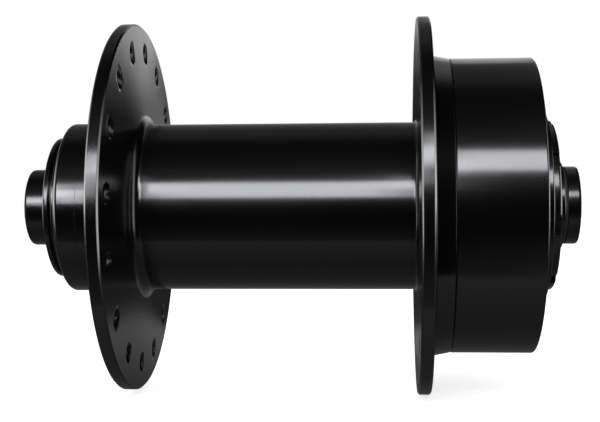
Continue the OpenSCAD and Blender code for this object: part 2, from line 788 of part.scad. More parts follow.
// Enamelled copper wire, wound as one closed coil
module coil_winding() {
    color([0.72, 0.38, 0.2])
    turned(ring(core_d / 2 + bobbin_wall + 2 * seat_gap, bobbin_r - bobbin_wall,
                core_left + bobbin_wall + seat_gap, core_right - bobbin_wall - seat_gap));
}

// Round nut with four spanner slots that clamps the winding against the shoulder
module stator_nut() {
    slot_w = 2.4;
    slot_depth = 0.9;
    color([0.6, 0.6, 0.62])
    difference() {
        turned(ring(axle_d / 2 + seat_gap, stator_nut_d / 2, stator_right,
                    right_bearing_inner));
        round_axle(4, 45)
            translate([stator_nut_d / 2 - slot_depth, -slot_w / 2, stator_right - cut])
                cube([slot_depth + cut, slot_w, stator_nut_len + 2 * cut]);
        wire_channel(axle_d / 2 - cut, axle_d / 2 + wire_d / 2, stator_right - cut,
                     right_bearing_inner + cut);
    }
}

// One straight length of wire with a round end, from one [radius, place] to another
module wire_run(from, to) {
    way = to - from;
    translate([-from[0], from[1], 0]) {
        sphere(d = wire_d, $fn = 24);
        rotate([0, 0, atan2(way[1], -way[0])])
            rotate([0, 90, 0]) cylinder(d = wire_d, h = norm(way), $fn = 24);
    }
}

// Two insulated wires from the winding, through the axle's slot, to the terminals
module lead_wires() {
    start_r = core_d / 2 + bobbin_wall + wire_d / 2;
    route = [[start_r, core_right + wire_d / 2],
             [start_r, wire_plate_place],
             [wire_depth_r, wire_plate_place],
             [wire_depth_r, block_place],
             [blade_root_r + blade_w / 2, block_place]];
    color([0.5, 0.08, 0.06])
    for (side = [-1, 1])
        translate([0, 0, side * wire_side])
            for (i = [0:len(route) - 2]) wire_run(route[i], route[i + 1]);
}

// Moulded block that holds the two terminals on the collar
module terminal_block() {
    half_len = terminal_block_len / 2;
    channel_w = 2 * (wire_side + wire_d / 2 + seat_gap);
    color([0.09, 0.09, 0.09])
    difference() {
        translate([-block_seat_r - terminal_block_reach, block_place - half_len,
                   -terminal_block_w / 2])
            cube([block_seat_r + terminal_block_reach, terminal_block_len, terminal_block_w]);
        along_axle()
            translate([0, 0, block_place - half_len - cut])
                cylinder(r = block_seat_r, h = terminal_block_len + 2 * cut);
        translate([-blade_root_r - blade_w, block_place - wire_d / 2 - seat_gap, -channel_w / 2])
            cube([blade_root_r + blade_w, wire_d + 2 * seat_gap, channel_w]);
        for (side = [0, 1])
            mirror([0, 0, side])
                translate([-block_seat_r - terminal_block_reach - cut,
                           block_place - blade_t / 2 - seat_gap, blade_side - seat_gap])
                    cube([terminal_block_reach + block_seat_r - blade_root_r + cut,
                          blade_t + 2 * seat_gap, blade_w + 2 * seat_gap]);
    }
}

// Two flat brass blades that the lamp's plug pushes onto
module terminal_blades() {
    tip_r = block_seat_r + terminal_block_reach + blade_len;
    hole_d = 1.2;
    color([0.8, 0.68, 0.35])
    for (side = [0, 1])
        mirror([0, 0, side])
            difference() {
                translate([-tip_r, block_place - blade_t / 2, blade_side])
                    cube([tip_r - blade_root_r - seat_gap, blade_t, blade_w]);
                translate([-tip_r + blade_len / 2, block_place, blade_side + blade_w / 2])
                    along_axle()
                        cylinder(d = hole_d, h = blade_t + 2 * cut, center = true, $fn = 24);
            }
}

module left_outer_race() { outer_race((left_bearing_outer + left_bearing_inner) / 2); }
module left_inner_race() { inner_race((left_bearing_outer + left_bearing_inner) / 2); }
module left_balls() { balls((left_bearing_outer + left_bearing_inner) / 2); }
module left_ball_cage() { ball_cage((left_bearing_outer + left_bearing_inner) / 2); }
module left_bearing_seals() { bearing_seals((left_bearing_outer + left_bearing_inner) / 2); }
module right_outer_race() { outer_race((right_bearing_outer + right_bearing_inner) / 2); }
module right_inner_race() { inner_race((right_bearing_outer + right_bearing_inner) / 2); }
module right_balls() { balls((right_bearing_outer + right_bearing_inner) / 2); }
module right_ball_cage() { ball_cage((right_bearing_outer + right_bearing_inner) / 2); }
module right_bearing_seals() { bearing_seals((right_bearing_outer + right_bearing_inner) / 2); }
module left_cap_ring() { cap_ring(left_cap_ring_place); }
module right_cap_ring() { cap_ring(right_cap_ring_place); }

hub_shell();
left_bearing_cover();
left_cover_seal();
generator_housing();
housing_seal_ring();
bearing_lock_ring();
lock_ring_seal();
flux_ring();
magnets();
left_outer_race();
left_inner_race();
left_balls();
left_ball_cage();
left_bearing_seals();
right_outer_race();
right_inner_race();
right_balls();
right_ball_cage();
right_bearing_seals();
axle();
left_end_cap();
left_cap_ring();
left_dust_cap();
right_end_cap();
right_cap_ring();
collar_ring();
left_claw_plate();
right_claw_plate();
stator_core();
coil_bobbin();
coil_winding();
stator_nut();
lead_wires();
terminal_block();
terminal_blades();
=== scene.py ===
import math

import bmesh
import bpy
from mathutils import Matrix, Vector


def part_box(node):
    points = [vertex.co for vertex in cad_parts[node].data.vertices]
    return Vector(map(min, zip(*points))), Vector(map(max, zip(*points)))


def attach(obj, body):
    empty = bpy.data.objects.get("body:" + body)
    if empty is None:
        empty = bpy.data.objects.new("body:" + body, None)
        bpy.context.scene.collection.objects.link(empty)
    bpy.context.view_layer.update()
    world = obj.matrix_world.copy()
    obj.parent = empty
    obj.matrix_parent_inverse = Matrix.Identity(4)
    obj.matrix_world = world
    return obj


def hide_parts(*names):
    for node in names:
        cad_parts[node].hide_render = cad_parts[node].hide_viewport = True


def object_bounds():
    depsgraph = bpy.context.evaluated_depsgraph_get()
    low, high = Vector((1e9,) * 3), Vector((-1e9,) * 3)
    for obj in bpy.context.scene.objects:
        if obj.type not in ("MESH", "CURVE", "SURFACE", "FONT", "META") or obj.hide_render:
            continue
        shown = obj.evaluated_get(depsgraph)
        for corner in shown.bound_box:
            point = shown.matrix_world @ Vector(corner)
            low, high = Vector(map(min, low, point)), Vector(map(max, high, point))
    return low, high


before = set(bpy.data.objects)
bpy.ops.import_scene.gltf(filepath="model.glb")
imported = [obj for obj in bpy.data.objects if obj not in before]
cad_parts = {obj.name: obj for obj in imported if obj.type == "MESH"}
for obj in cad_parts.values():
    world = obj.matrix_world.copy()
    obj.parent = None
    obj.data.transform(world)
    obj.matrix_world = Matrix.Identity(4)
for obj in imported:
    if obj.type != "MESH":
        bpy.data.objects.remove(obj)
cad_low, cad_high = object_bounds()

# The camera stands level with the axle, a little towards the drum, and turns back to
# frame the whole hub. Its lens is a short telephoto one, used close.
mm = 0.001
camera_distance = 287.0 * mm
camera_along = 21.35 * mm
camera_height = 3.19 * mm
turn_left = 4.293
tilt_down = 0.871
roll = -0.292
sensor_width = 36.0
lens = 69.18

camera_data = bpy.data.cameras.new("camera")
camera_data.sensor_fit = "HORIZONTAL"
camera_data.sensor_width = sensor_width
camera_data.lens = lens
camera = bpy.data.objects.new("camera", camera_data)
camera.matrix_world = (
    Matrix.Translation((camera_distance, camera_along, camera_height))
    @ Matrix.Rotation(math.radians(90 + turn_left), 4, "Z")
    @ Matrix.Rotation(math.radians(90 - tilt_down), 4, "X")
    @ Matrix.Rotation(math.radians(roll), 4, "Z")
)
bpy.context.scene.collection.objects.link(camera)
bpy.context.scene.camera = camera
bpy.context.scene.view_settings.view_transform = "Standard"


# The hub stands on a plain white paper table that ends just in front of it. The camera
# sees it as white with a faint shadow, partly real and partly painted shade in its glow
# near the hub. The hub's polish sees painted levels on it instead: painted shade near
# the hub and far behind it, and a painted glow far out to the sides.
class Value:
    """A shader socket that joins in sums, so that a mask reads as a formula."""

    def __init__(self, tree, socket):
        self.tree = tree
        self.socket = socket

    def join(self, operation, *operands):
        made = self.tree.nodes.new("ShaderNodeMath")
        made.operation = operation
        for port, value in zip(made.inputs, operands):
            if isinstance(value, Value):
                self.tree.links.new(value.socket, port)
            else:
                port.default_value = value
        return Value(self.tree, made.outputs[0])

    def __add__(self, other):
        return self.join("ADD", self, other)

    def __radd__(self, other):
        return self.join("ADD", other, self)

    def __sub__(self, other):
        return self.join("SUBTRACT", self, other)

    def __rsub__(self, other):
        return self.join("SUBTRACT", other, self)

    def __mul__(self, other):
        return self.join("MULTIPLY", self, other)

    def __rmul__(self, other):
        return self.join("MULTIPLY", other, self)

    def __pow__(self, other):
        return self.join("POWER", self, other)

    def __lt__(self, other):
        return self.join("LESS_THAN", self, other)

    def __gt__(self, other):
        return self.join("GREATER_THAN", self, other)


class Nodes:
    """The node tree of a material or a world, with one method that makes a node. A socket
    is given by its name, or by its number after an underscore."""

    def __init__(self, owner):
        owner.use_nodes = True
        self.tree = owner.node_tree
        self.tree.nodes.clear()

    def node(self, kind, settings=None, output=0, **sockets):
        made = self.tree.nodes.new("ShaderNode" + kind)
        for name, setting in (settings or {}).items():
            if name == "stops":
                ramp = made.color_ramp.elements
                while len(ramp) < len(setting):
                    ramp.new(0.5)
                for stop, (place, colour) in zip(ramp, setting):
                    stop.position = place
                    stop.color = colour
            else:
                setattr(made, name, setting)
        for name, value in sockets.items():
            number = name[1:]
            port = made.inputs[int(number) if number.isdigit() else name.replace("_", " ")]
            if isinstance(value, Value):
                self.tree.links.new(value.socket, port)
            else:
                port.default_value = value
        return Value(self.tree, made.outputs[output]) if made.outputs else None


def grey(level):
    return (level, level, level, 1.0)


table_front = 55.0 * mm
table_reach = 2.0
table_gap = 0.2 * mm
table_top = cad_low.z - table_gap
table_white = 0.8
shadow_floor = 0.76
shadow_reach = 170.0 * mm
painted_reflection_start = 0.945

table_mesh = bpy.data.meshes.new("table")
table_mesh.from_pydata(
    [(table_front, -table_reach, table_top), (table_front, table_reach, table_top),
     (-table_reach, table_reach, table_top), (-table_reach, -table_reach, table_top)],
    [], [(0, 1, 2, 3)])
table = bpy.data.objects.new("table", table_mesh)
bpy.context.scene.collection.objects.link(table)

table_paper = bpy.data.materials.new("table_paper")
n = Nodes(table_paper)
seen = n.node("LightPath", output="Is Camera Ray")
glossy = n.node("LightPath", output="Is Glossy Ray")
through = n.node("LightPath", output="Is Transmission Ray")
place = n.node("TexCoord", output="Object")
depth = n.node("SeparateXYZ", _0=place, output="X")
along = n.node("SeparateXYZ", _0=place, output="Y")
fibre = n.node("TexNoise", Vector=place, Scale=900.0, Detail=3.0)
white = n.node("MixRGB", Fac=fibre, Color1=grey(table_white), Color2=grey(table_white * 0.97))
lit = n.node("BsdfDiffuse", Color=white)
from_hub = (depth * depth + along * along * 0.5) ** 0.5 * (1.0 / shadow_reach)
# Painted shadow: the glow the camera sees is made darker near the hub, on top of the diffuse part's
# real shadow.
painted_shadow_glow = n.node("ValToRGB", {"stops": [(0.2, grey(shadow_floor)), (0.9, grey(1.0))]}, Fac=from_hub)
glow = n.node("AddShader", _0=lit, _1=n.node("Emission", Color=painted_shadow_glow, Strength=seen))
# Painted reflection: mirrored rays see levels set by distance behind the hub, with painted shade near
# it and far behind it, plus a painted glow far along the axle.
painted_table_reflection = n.node("ValToRGB", {"stops": [
    (distance + painted_reflection_start, grey(level)) for distance, level in (
        (-0.155, 0.03), (-0.115, 0.24), (-0.085, 0.2), (-0.015, 0.09), (0.02, 0.08),
        (0.055, 0.18))]}, Fac=depth + painted_reflection_start)
far_along = n.node("ValToRGB", {"stops": [(0.06, grey(0.0)), (0.5, grey(1.2))]}, Fac=along * along)
mirrored = n.node("AddShader", _0=n.node("Emission", Color=painted_table_reflection, Strength=1.0),
                  _1=n.node("Emission", Color=far_along, Strength=1.0))
above_table = n.node("MixShader", _0=glossy + through, _1=glow, _2=mirrored)
under = n.node("NewGeometry", output="Backfacing")
clear = n.node("BsdfTransparent")
n.node("OutputMaterial", Surface=n.node("MixShader", _0=under, _1=above_table, _2=clear))
table_mesh.materials.append(table_paper)

# The room is plain white to the camera. Only mirrored rays see a painted room: painted
# reflections of a lit white wall at each end, the dark where the camera stands, and white
# paper behind the hub that starts a little above the table and ends beside the hub.
room_light = 0.5
end_light = 5.0
paper_light = 2.7
far_paper_light = 0.5

world = bpy.data.worlds.new("studio")
bpy.context.scene.world = world
n = Nodes(world)
seen = n.node("LightPath", output="Is Camera Ray")
glossy = n.node("LightPath", output="Is Glossy Ray")
through = n.node("LightPath", output="Is Transmission Ray")
way = n.node("TexCoord", output="Generated")
ahead = n.node("SeparateXYZ", _0=way, output="X")
aside = n.node("SeparateXYZ", _0=way, output="Y")
above = n.node("SeparateXYZ", _0=way, output="Z")
turn = n.node("Math", {"operation": "ARCTAN2"}, _0=above, _1=ahead) * (0.5 / math.pi) + 0.5
# Painted reflections: only glossy and transmission rays see the levels below; they light nothing else.
# Levels by the angle round the axle: 0 is the camera, 90 is overhead, 180 is behind.
rounds = n.node("ValToRGB", {"stops": [
    ((angle + 180) / 360, grey(level)) for angle, level in (
        (-180, 0.02), (-60, 0.1), (-20, 0.0), (15, 0.0), (50, 0.1), (58, 0.06), (72, 0.03),
        (86, 0.016), (96, 0.02), (104, 0.05), (112, 0.1), (135, 0.12), (155, 0.2),
        (165, 0.42), (170.5, 0.7), (172.2, 0.7), (173.2, 0.01), (180, 0.01))]}, Fac=turn)
ends = n.node("ValToRGB", {"stops": [
    (0.55, grey(0.0)), (0.72, grey(0.2)), (0.85, grey(0.5)), (0.93, grey(1.0))]}, Fac=aside * aside)
# Levels by how far a mirrored ray leans along the axle: 0.5 is straight across it.
lean = aside * 0.5 + 0.5
painted_paper_band = n.node("ValToRGB", {"stops": [
    (0.56, grey(0.33)), (0.575, grey(0.5)), (0.59, grey(1.0)), (0.618, grey(1.0)),
    (0.632, grey(0.05)), (0.645, grey(0.0))]}, Fac=lean) * paper_light
painted_far_paper_band = n.node("ValToRGB", {"stops": [
    (0.515, grey(0.0)), (0.53, grey(far_paper_light)), (0.558, grey(far_paper_light)),
    (0.572, grey(0.0))]}, Fac=lean) * (ahead < -0.8) * (above > 0.0)
surround = n.node("MixRGB", Fac=ends, Color1=rounds * painted_paper_band + painted_far_paper_band, Color2=grey(end_light))
shown = n.node("Background", Color=grey(1.0), Strength=1.0)
mirrored = n.node("Background", Color=surround, Strength=1.0)
dim = n.node("Background", Color=grey(1.0), Strength=room_light)
lighting = n.node("MixShader", _0=glossy + through, _1=dim, _2=mirrored)
n.node("OutputWorld", Surface=n.node("MixShader", _0=seen, _1=lighting, _2=shown))

# A row of soft boxes hangs over the camera, higher above the drum than above the tube.
# Each fills one stretch of the hub's highlight, and each is aimed at the axle. A row
# below gives its start and stop along the axle, its height, its width and its strength.
box_distance = 0.6
box_white = (0.95, 0.96, 1.0)
for name, start, stop, height, width, bright in (
        ("left_end_strip", -0.33, -0.248, 0.25, 0.2, 10.5),
        ("boss_strip", -0.248, -0.204, 0.155, 0.19, 9.5),
        ("left_rim_strip", -0.204, -0.172, 0.29, 0.14, 11.5),
        ("tube_strip", -0.172, 0.038, 0.25, 0.235, 7.6),
        ("rim_strip", 0.038, 0.064, 0.325, 0.14, 10.0),
        ("drum_strip_edge", 0.064, 0.09, 0.4, 0.19, 8.8),
        ("drum_strip", 0.09, 0.2, 0.395, 0.19, 7.6)):
    box = bpy.data.lights.new(name, "AREA")
    box.shape = "RECTANGLE"
    box.size = stop - start
    box.size_y = width
    box.energy = bright * math.pi * box.size * width
    box.color = box_white
    lamp = bpy.data.objects.new(name, box)
    lamp.location = (box_distance, (start + stop) / 2, height)
    lamp.rotation_euler = Vector((-box_distance, 0.0, -height)).to_track_quat("-Z", "Y").to_euler()
    bpy.context.scene.collection.objects.link(lamp)


# The shell is turned from one aluminium billet: bearing boss, two spoke flanges, tube
# and the neck that carries the drum. The left flange's web swells towards the tube. The
# shell is drilled and countersunk for the spokes, lightly blasted and anodised black.
def smooth(piece):
    """Smooth shading that leaves the flat and straight faces true beside a rounded edge."""
    sharp_from = 25
    piece.data.shade_smooth()
    piece.data.set_sharp_from_angle(angle=math.radians(sharp_from))
    true = piece.modifiers.new("true_faces", "WEIGHTED_NORMAL")
    true.keep_sharp = True
    true.weight = 100


def turned(name, corners, segments=192, axis=(0.0, 0.0)):
    """Turns a closed outline of (radius, place along the axle, edge radius) corners, in
    millimetres, round a line parallel to the axle at axis = (x, z)."""
    edge_step = 11
    weld = 1e-7
    outline = []
    for i, (r, y, edge) in enumerate(corners):
        here = Vector((r, y))
        if not edge:
            outline.append(here)
            continue
        back = Vector(corners[i - 1][:2]) - here
        on = Vector(corners[(i + 1) % len(corners)][:2]) - here
        back.normalize()
        on.normalize()
        half = back.angle(on) / 2
        centre = here + (back + on).normalized() * edge / math.sin(half)
        start = here + back * edge / math.tan(half) - centre
        swing = math.pi - 2 * half
        steps = max(2, round(math.degrees(swing) / edge_step))
        side = 1 if back.cross(on) < 0 else -1
        for step in range(steps + 1):
            turn = Matrix.Rotation(side * swing * step / steps, 2)
            outline.append(centre + turn @ start)
    bm = bmesh.new()
    rings = []
    for j in range(segments):
        a = 2 * math.pi * j / segments
        rings.append([bm.verts.new((
            (axis[0] + p.x * math.cos(a)) * mm, p.y * mm, (axis[1] + p.x * math.sin(a)) * mm))
            for p in outline])
    for j, ring in enumerate(rings):
        after = rings[(j + 1) % segments]
        for k in range(len(outline)):
            m = (k + 1) % len(outline)
            bm.faces.new((ring[k], ring[m], after[m], after[k]))
    bmesh.ops.remove_doubles(bm, verts=bm.verts, dist=weld)
    bmesh.ops.recalc_face_normals(bm, faces=bm.faces)
    mesh = bpy.data.meshes.new(name)
    bm.to_mesh(mesh)
    bm.free()
    piece = bpy.data.objects.new(name, mesh)
    bpy.context.scene.collection.objects.link(piece)
    smooth(piece)
    return piece


def cut_from(piece, cutters):
    """Takes the cutters' space out of the piece and bakes the result into its mesh."""
    bpy.ops.object.select_all(action="DESELECT")
    for cutter in cutters:
        cutter.select_set(True)
    bpy.context.view_layer.objects.active = cutters[0]
    bpy.ops.object.join()
    joined = bpy.context.view_layer.objects.active
    drill = piece.modifiers.new("cut", "BOOLEAN")
    drill.operation = "DIFFERENCE"
    drill.solver = "MANIFOLD"
    drill.object = joined
    depsgraph = bpy.context.evaluated_depsgraph_get()
    made = bpy.data.meshes.new_from_object(piece.evaluated_get(depsgraph))
    piece.modifiers.clear()
    piece.data = made
    bpy.data.objects.remove(joined)
    smooth(piece)


def finish_piece(piece, body, material, node):
    """Gives a piece its finish and puts it in the place of its CAD node."""
    piece.data.materials.clear()
    piece.data.materials.append(material)
    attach(piece, body)
    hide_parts(node)


def anodised(name, roughness=0.16, grain=0.4, drilled=None):
    """Black dyed anodising over turned aluminium: a hard clear skin with a very fine
    grain, the tool's rings under it, and slightly thin, greyer edges. Between the two
    drilled radii the countersinks' faces are rougher cut and mirror less."""
    black = 0.0012
    worn = 0.01
    lines = 0.1
    material = bpy.data.materials.new(name)
    n = Nodes(material)
    place = n.node("TexCoord", output="Object")
    x = n.node("SeparateXYZ", _0=place, output="X")
    y = n.node("SeparateXYZ", _0=place, output="Y")
    z = n.node("SeparateXYZ", _0=place, output="Z")
    radius = (x * x + z * z) ** 0.5
    ring = n.node("CombineXYZ", X=radius, Y=y, Z=0.0)
    fine = n.node("TexNoise", Vector=place, Scale=3200.0, Detail=2.0, Roughness=0.6)
    tool_marks = n.node("TexNoise", Vector=ring, Scale=5200.0, Detail=1.0)
    cloud = n.node("TexNoise", Vector=place, Scale=70.0, Detail=4.0, Roughness=0.55)
    edge = n.node("ValToRGB", {"stops": [(0.51, grey(0.0)), (0.56, grey(1.0))]},
                  Fac=n.node("NewGeometry", output="Pointiness"))
    colour = n.node("MixRGB", Fac=edge * cloud, Color1=(black, black, black * 1.15, 1.0),
                    Color2=(worn, worn, worn * 1.04, 1.0))
    flat = n.node("SeparateXYZ", _0=n.node("NewGeometry", output="Normal"), output="Y") ** 2
    bumped = n.node("Bump", Strength=0.22, Distance=0.00002,
                    Height=fine * grain + tool_marks * lines)
    skin = n.node(
        "BsdfPrincipled", Base_Color=colour, Metallic=0.0, IOR=1.75, Normal=bumped,
        Roughness=roughness + flat * flat * 0.06 + (cloud - 0.5) * 0.04 + (fine - 0.5) * 0.1)
    if drilled:
        inner, outer = drilled
        sunk = (radius > inner) * (radius < outer) * (flat > 0.1) * (flat < 0.86)
        cut_face = n.node("BsdfPrincipled", Base_Color=grey(black), Roughness=0.25, IOR=1.35,
                          Normal=bumped)
        skin = n.node("MixShader", _0=sunk, _1=skin, _2=cut_face)
    n.node("OutputMaterial", Surface=skin)
    return material


shell_low, shell_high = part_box("hub_shell")
seam_left = shell_low.y / mm
seam_right = shell_high.y / mm
seam_chamfer = 0.2
seam_edge = 0.04
boss_r = 21.0
boss_length = 8.7
flange = 3.1
left_out = seam_left + boss_length
left_in = left_out + flange
left_r = 45.5
rim = 0.4
soft = 0.06
tube_r = 20.65
tube_wall = 2.5
tube_bore_r = tube_r - tube_wall
neck_r = 36.05
neck_length = 4.8
neck_rise = 0.91
right_out = seam_right - neck_length
right_in = right_out - flange
right_r = shell_high.x / mm
left_fillet = 2.6
right_fillet = 1.0
web_rise = 1.6
web_curve = 1.5
web_rings = (42.0, 36.2, 33.0, 30.0, 27.0, 25.0)
web_span = left_r - rim - tube_r
cup_r = 34.65
bearing_r = 15.02
bearing_floor = -43.0
shoulder_r = 13.3
shoulder_end = -41.8
bore_start = -36.95
cover_thread_r = 17.4
cover_thread_end = -50.0
spokes = 16
first_spoke = 5.0
spoke_inset = 6.6
spoke_r = 1.6
spoke_edge = 0.08
sink_r = 2.45
sink = sink_r - spoke_r
over = 0.2

web = []
for r in web_rings:
    part = (left_r - rim - r) / web_span
    web.append((r, left_in + web_rise * part ** web_curve, 0))
shell = turned("hub_shell_turned", [
    (cover_thread_r, seam_left, seam_edge), (boss_r, seam_left, seam_edge), (boss_r, left_out, 0.8),
    (left_r - rim, left_out, soft), (left_r, left_out + rim, soft),
    (left_r, left_in - rim, soft), (left_r - rim, left_in, soft), *web,
    (tube_r, left_in + web_rise, left_fillet), (tube_r, right_in, right_fillet),
    (right_r - rim, right_in, soft), (right_r, right_in + rim, soft),
    (right_r, right_out - rim, soft), (right_r - rim, right_out, soft),
    (neck_r + neck_rise, right_out, 1.0), (neck_r, seam_right - seam_chamfer, seam_edge),
    (neck_r - seam_chamfer, seam_right, seam_edge),
    (cup_r, seam_right, 0.1), (cup_r, right_out, 0.1),
    (tube_bore_r, right_out, 0.3), (tube_bore_r, bore_start, 0.5),
    (shoulder_r, shoulder_end, 0.1), (shoulder_r, bearing_floor, 0.1),
    (bearing_r, bearing_floor, 0.05), (bearing_r, cover_thread_end, 0.1),
    (cover_thread_r, cover_thread_end, 0.1)], segments=320)
drills = []
hole_rise = web_rise * ((spoke_inset - rim) / web_span) ** web_curve
for start, flange_r, phase, thick in (
        (left_out, left_r, 0.0, flange + hole_rise), (right_in, right_r, 0.5, flange)):
    circle_r = flange_r - spoke_inset
    for i in range(spokes):
        angle = math.radians(first_spoke + (i + phase) * 360 / spokes)
        drills.append(turned("drill", [
            (0.0, start - over, 0), (sink_r + over, start - over, 0),
            (spoke_r, start + sink, spoke_edge), (spoke_r, start + thick - sink, spoke_edge),
            (sink_r + over, start + thick + over, 0), (0.0, start + thick + over, 0)],
            segments=40, axis=(circle_r * math.cos(angle), circle_r * math.sin(angle))))
cut_from(shell, drills)
shell_black = anodised("shell_anodising", drilled=(
    (left_r - spoke_inset - sink_r - over) * mm, (right_r - spoke_inset + sink_r + over) * mm))
finish_piece(shell, "turning_shell", shell_black, "hub_shell")

# The drum is a closed cup, turned and screwed into the neck with a rubber ring in its
# spigot. Inside, a boss holds the right bearing. Its anodising is a touch more matt than
# the shell's.
drum_low, drum_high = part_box("generator_housing")
seat_top = drum_high.y / mm
seat_rise = 2.8
seat_r = 23.5
drum_end = seat_top - seat_rise
drum_edge = 0.5
drum_wall = 3.05
end_wall = 2.5
drum_bore_r = neck_r - drum_wall
inner_boss_r = 18.0
bearing_deep = 9.3
shoulder_deep = 10.5
ring_thread_r = 16.6
ring_thread_deep = 2.3
spigot_end = drum_low.y / mm
spigot_r = neck_r - 1.42
groove_middle = (seam_right + spigot_end) / 2
groove_half = 0.52
groove_floor_r = spigot_r - 1.0
drum = turned("generator_drum", [
    (spigot_r, seam_right, 0), (neck_r - seam_chamfer, seam_right, seam_edge),
    (neck_r, seam_right + seam_chamfer, seam_edge), (neck_r, drum_end, drum_edge),
    (seat_r, drum_end, 0.4), (seat_r, seat_top, 0.3), (ring_thread_r, seat_top, 0.15),
    (ring_thread_r, seat_top - ring_thread_deep, 0), (bearing_r, seat_top - ring_thread_deep, 0),
    (bearing_r, seat_top - bearing_deep, 0), (shoulder_r, seat_top - bearing_deep, 0),
    (shoulder_r, seat_top - shoulder_deep, 0.2), (inner_boss_r, seat_top - shoulder_deep, 0.4),
    (inner_boss_r, drum_end - end_wall, 0.8), (drum_bore_r, drum_end - end_wall, 0.8),
    (drum_bore_r, spigot_end, 0.1), (spigot_r, spigot_end, 0.1),
    (spigot_r, groove_middle - groove_half, 0.05), (groove_floor_r, groove_middle - groove_half, 0.05),
    (groove_floor_r, groove_middle + groove_half, 0.05), (spigot_r, groove_middle + groove_half, 0.05)],
    segments=320)
drum_black = anodised("drum_anodising", roughness=0.15, grain=0.6)
finish_piece(drum, "turning_shell", drum_black, "generator_housing")

# The bearing cover screws into the shell's boss. It is turned aluminium, anodised with
# the shell. Only a hairline seam shows where the two meet, and its outer edge is round.
cover_low, cover_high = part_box("left_bearing_cover")
cover_out = cover_low.y / mm
cover_in = cover_high.y / mm
cover_edge = 1.2
cover_hole_r = 15.6
cover_screw_r = 17.38
seal_floor = seam_left - 0.5
cover = turned("left_cover", [
    (cover_hole_r, cover_out, 0.4), (boss_r, cover_out, cover_edge), (boss_r, seam_left, seam_edge),
    (cover_screw_r, seam_left, 0), (cover_screw_r, cover_in, 0.2), (shoulder_r, cover_in, 0.1),
    (shoulder_r, seal_floor, 0.1), (cover_hole_r, seal_floor, 0.1)], segments=256)
cover_black = anodised("cover_anodising")
finish_piece(cover, "turning_shell", cover_black, "left_bearing_cover")

# The lock ring screws down on the right bearing. It is turned from aluminium and
# anodised, and eight notches milled in its edge take a spanner.
ring_low, ring_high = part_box("bearing_lock_ring")
ring_top = ring_high.y / mm
ring_foot = ring_low.y / mm
ring_r = ring_high.x / mm
ring_bore_r = 12.75
ring_seal_r = 13.5
ring_seal_floor = ring_foot + 1.15
ring_screw_r = 16.58
ring_edge = 0.7
notches = 8
first_notch = 33
notch_deep = 1.1
notch_wide = 4.6
notch_corner = 0.7
cutter_long = 4
cutter_high = 3
lock_ring = turned("lock_ring", [
    (ring_bore_r, ring_seal_floor, 0), (ring_seal_r, ring_seal_floor, 0),
    (ring_seal_r, ring_foot, 0.1), (ring_screw_r, ring_foot, 0.2), (ring_screw_r, seat_top, 0),
    (ring_r, seat_top, 0.1), (ring_r, ring_top, ring_edge), (ring_bore_r, ring_top, 0.3)],
    segments=256)
cutters = []
for i in range(notches):
    angle = math.radians(first_notch + i * 360 / notches)
    bm = bmesh.new()
    bmesh.ops.create_cube(bm, size=1.0)
    bmesh.ops.scale(bm, verts=bm.verts, vec=(cutter_long * mm, cutter_high * mm, notch_wide * mm))
    upright = [e for e in bm.edges
               if abs((e.verts[0].co - e.verts[1].co).normalized().y) > 0.9]
    bmesh.ops.bevel(bm, geom=upright, offset=notch_corner * mm, segments=4, affect="EDGES")
    bmesh.ops.translate(bm, verts=bm.verts, vec=(
        (ring_r - notch_deep + cutter_long / 2) * mm, (seat_top + ring_top) / 2 * mm, 0))
    bmesh.ops.rotate(bm, verts=bm.verts, matrix=Matrix.Rotation(-angle, 3, "Y"))
    cutter_mesh = bpy.data.meshes.new("notch")
    bm.to_mesh(cutter_mesh)
    bm.free()
    cutter = bpy.data.objects.new("notch", cutter_mesh)
    bpy.context.scene.collection.objects.link(cutter)
    cutters.append(cutter)
cut_from(lock_ring, cutters)
ring_black = anodised("lock_ring_anodising", roughness=0.17, grain=0.15)
finish_piece(lock_ring, "turning_shell", ring_black, "bearing_lock_ring")

# The end caps push onto the axle and seat in the fork. They are turned from aluminium
# and anodised. The right one has a collar, and a groove for a rubber ring beside it.
left_low, left_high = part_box("left_end_cap")
dust_low, dust_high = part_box("left_dust_cap")
left_face = left_low.y / mm
left_inner = left_high.y / mm
dust_out = dust_low.y / mm
dust_seat_r = left_high.x / mm
right_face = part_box("right_end_cap")[1].y / mm
cap_r = 9.5
bore_r = 6.05
socket_r = 7.52
socket_floor = 3.0
face_long = 0.5
face_step = 0.15
cap_black = anodised("end_cap_anodising", roughness=0.19, grain=0.18)
left_cap = turned("left_cap", [
    (bore_r, left_face, 0.3), (cap_r - face_step, left_face, 0.05),
    (cap_r, left_face + face_long, 0.3), (cap_r, dust_out, 0), (dust_seat_r, dust_out, 0),
    (dust_seat_r, left_inner, 0.1), (socket_r, left_inner, 0.1),
    (socket_r, left_face + socket_floor, 0), (bore_r, left_face + socket_floor, 0)])
finish_piece(left_cap, "fixed_axle", cap_black, "left_end_cap")
groove_r = 8.75
groove_out = right_face - 3.0
groove_in = groove_out - 0.8
collar_r = 10.8
collar_foot = 57.6
foot_r = 10.35
foot_end = 57.0
right_cap = turned("right_cap", [
    (bore_r, right_face, 0.3), (cap_r - face_step, right_face, 0.05),
    (cap_r, right_face - face_long, 0.3), (cap_r, groove_out, 0.1), (groove_r, groove_out, 0.05),
    (groove_r, groove_in, 0.05), (collar_r, groove_in, 0.3), (collar_r, collar_foot, 0.1),
    (foot_r, collar_foot, 0), (foot_r, foot_end, 0.1), (socket_r, foot_end, 0.1),
    (socket_r, right_face - socket_floor, 0), (bore_r, right_face - socket_floor, 0)])
finish_piece(right_cap, "fixed_axle", cap_black, "right_end_cap")

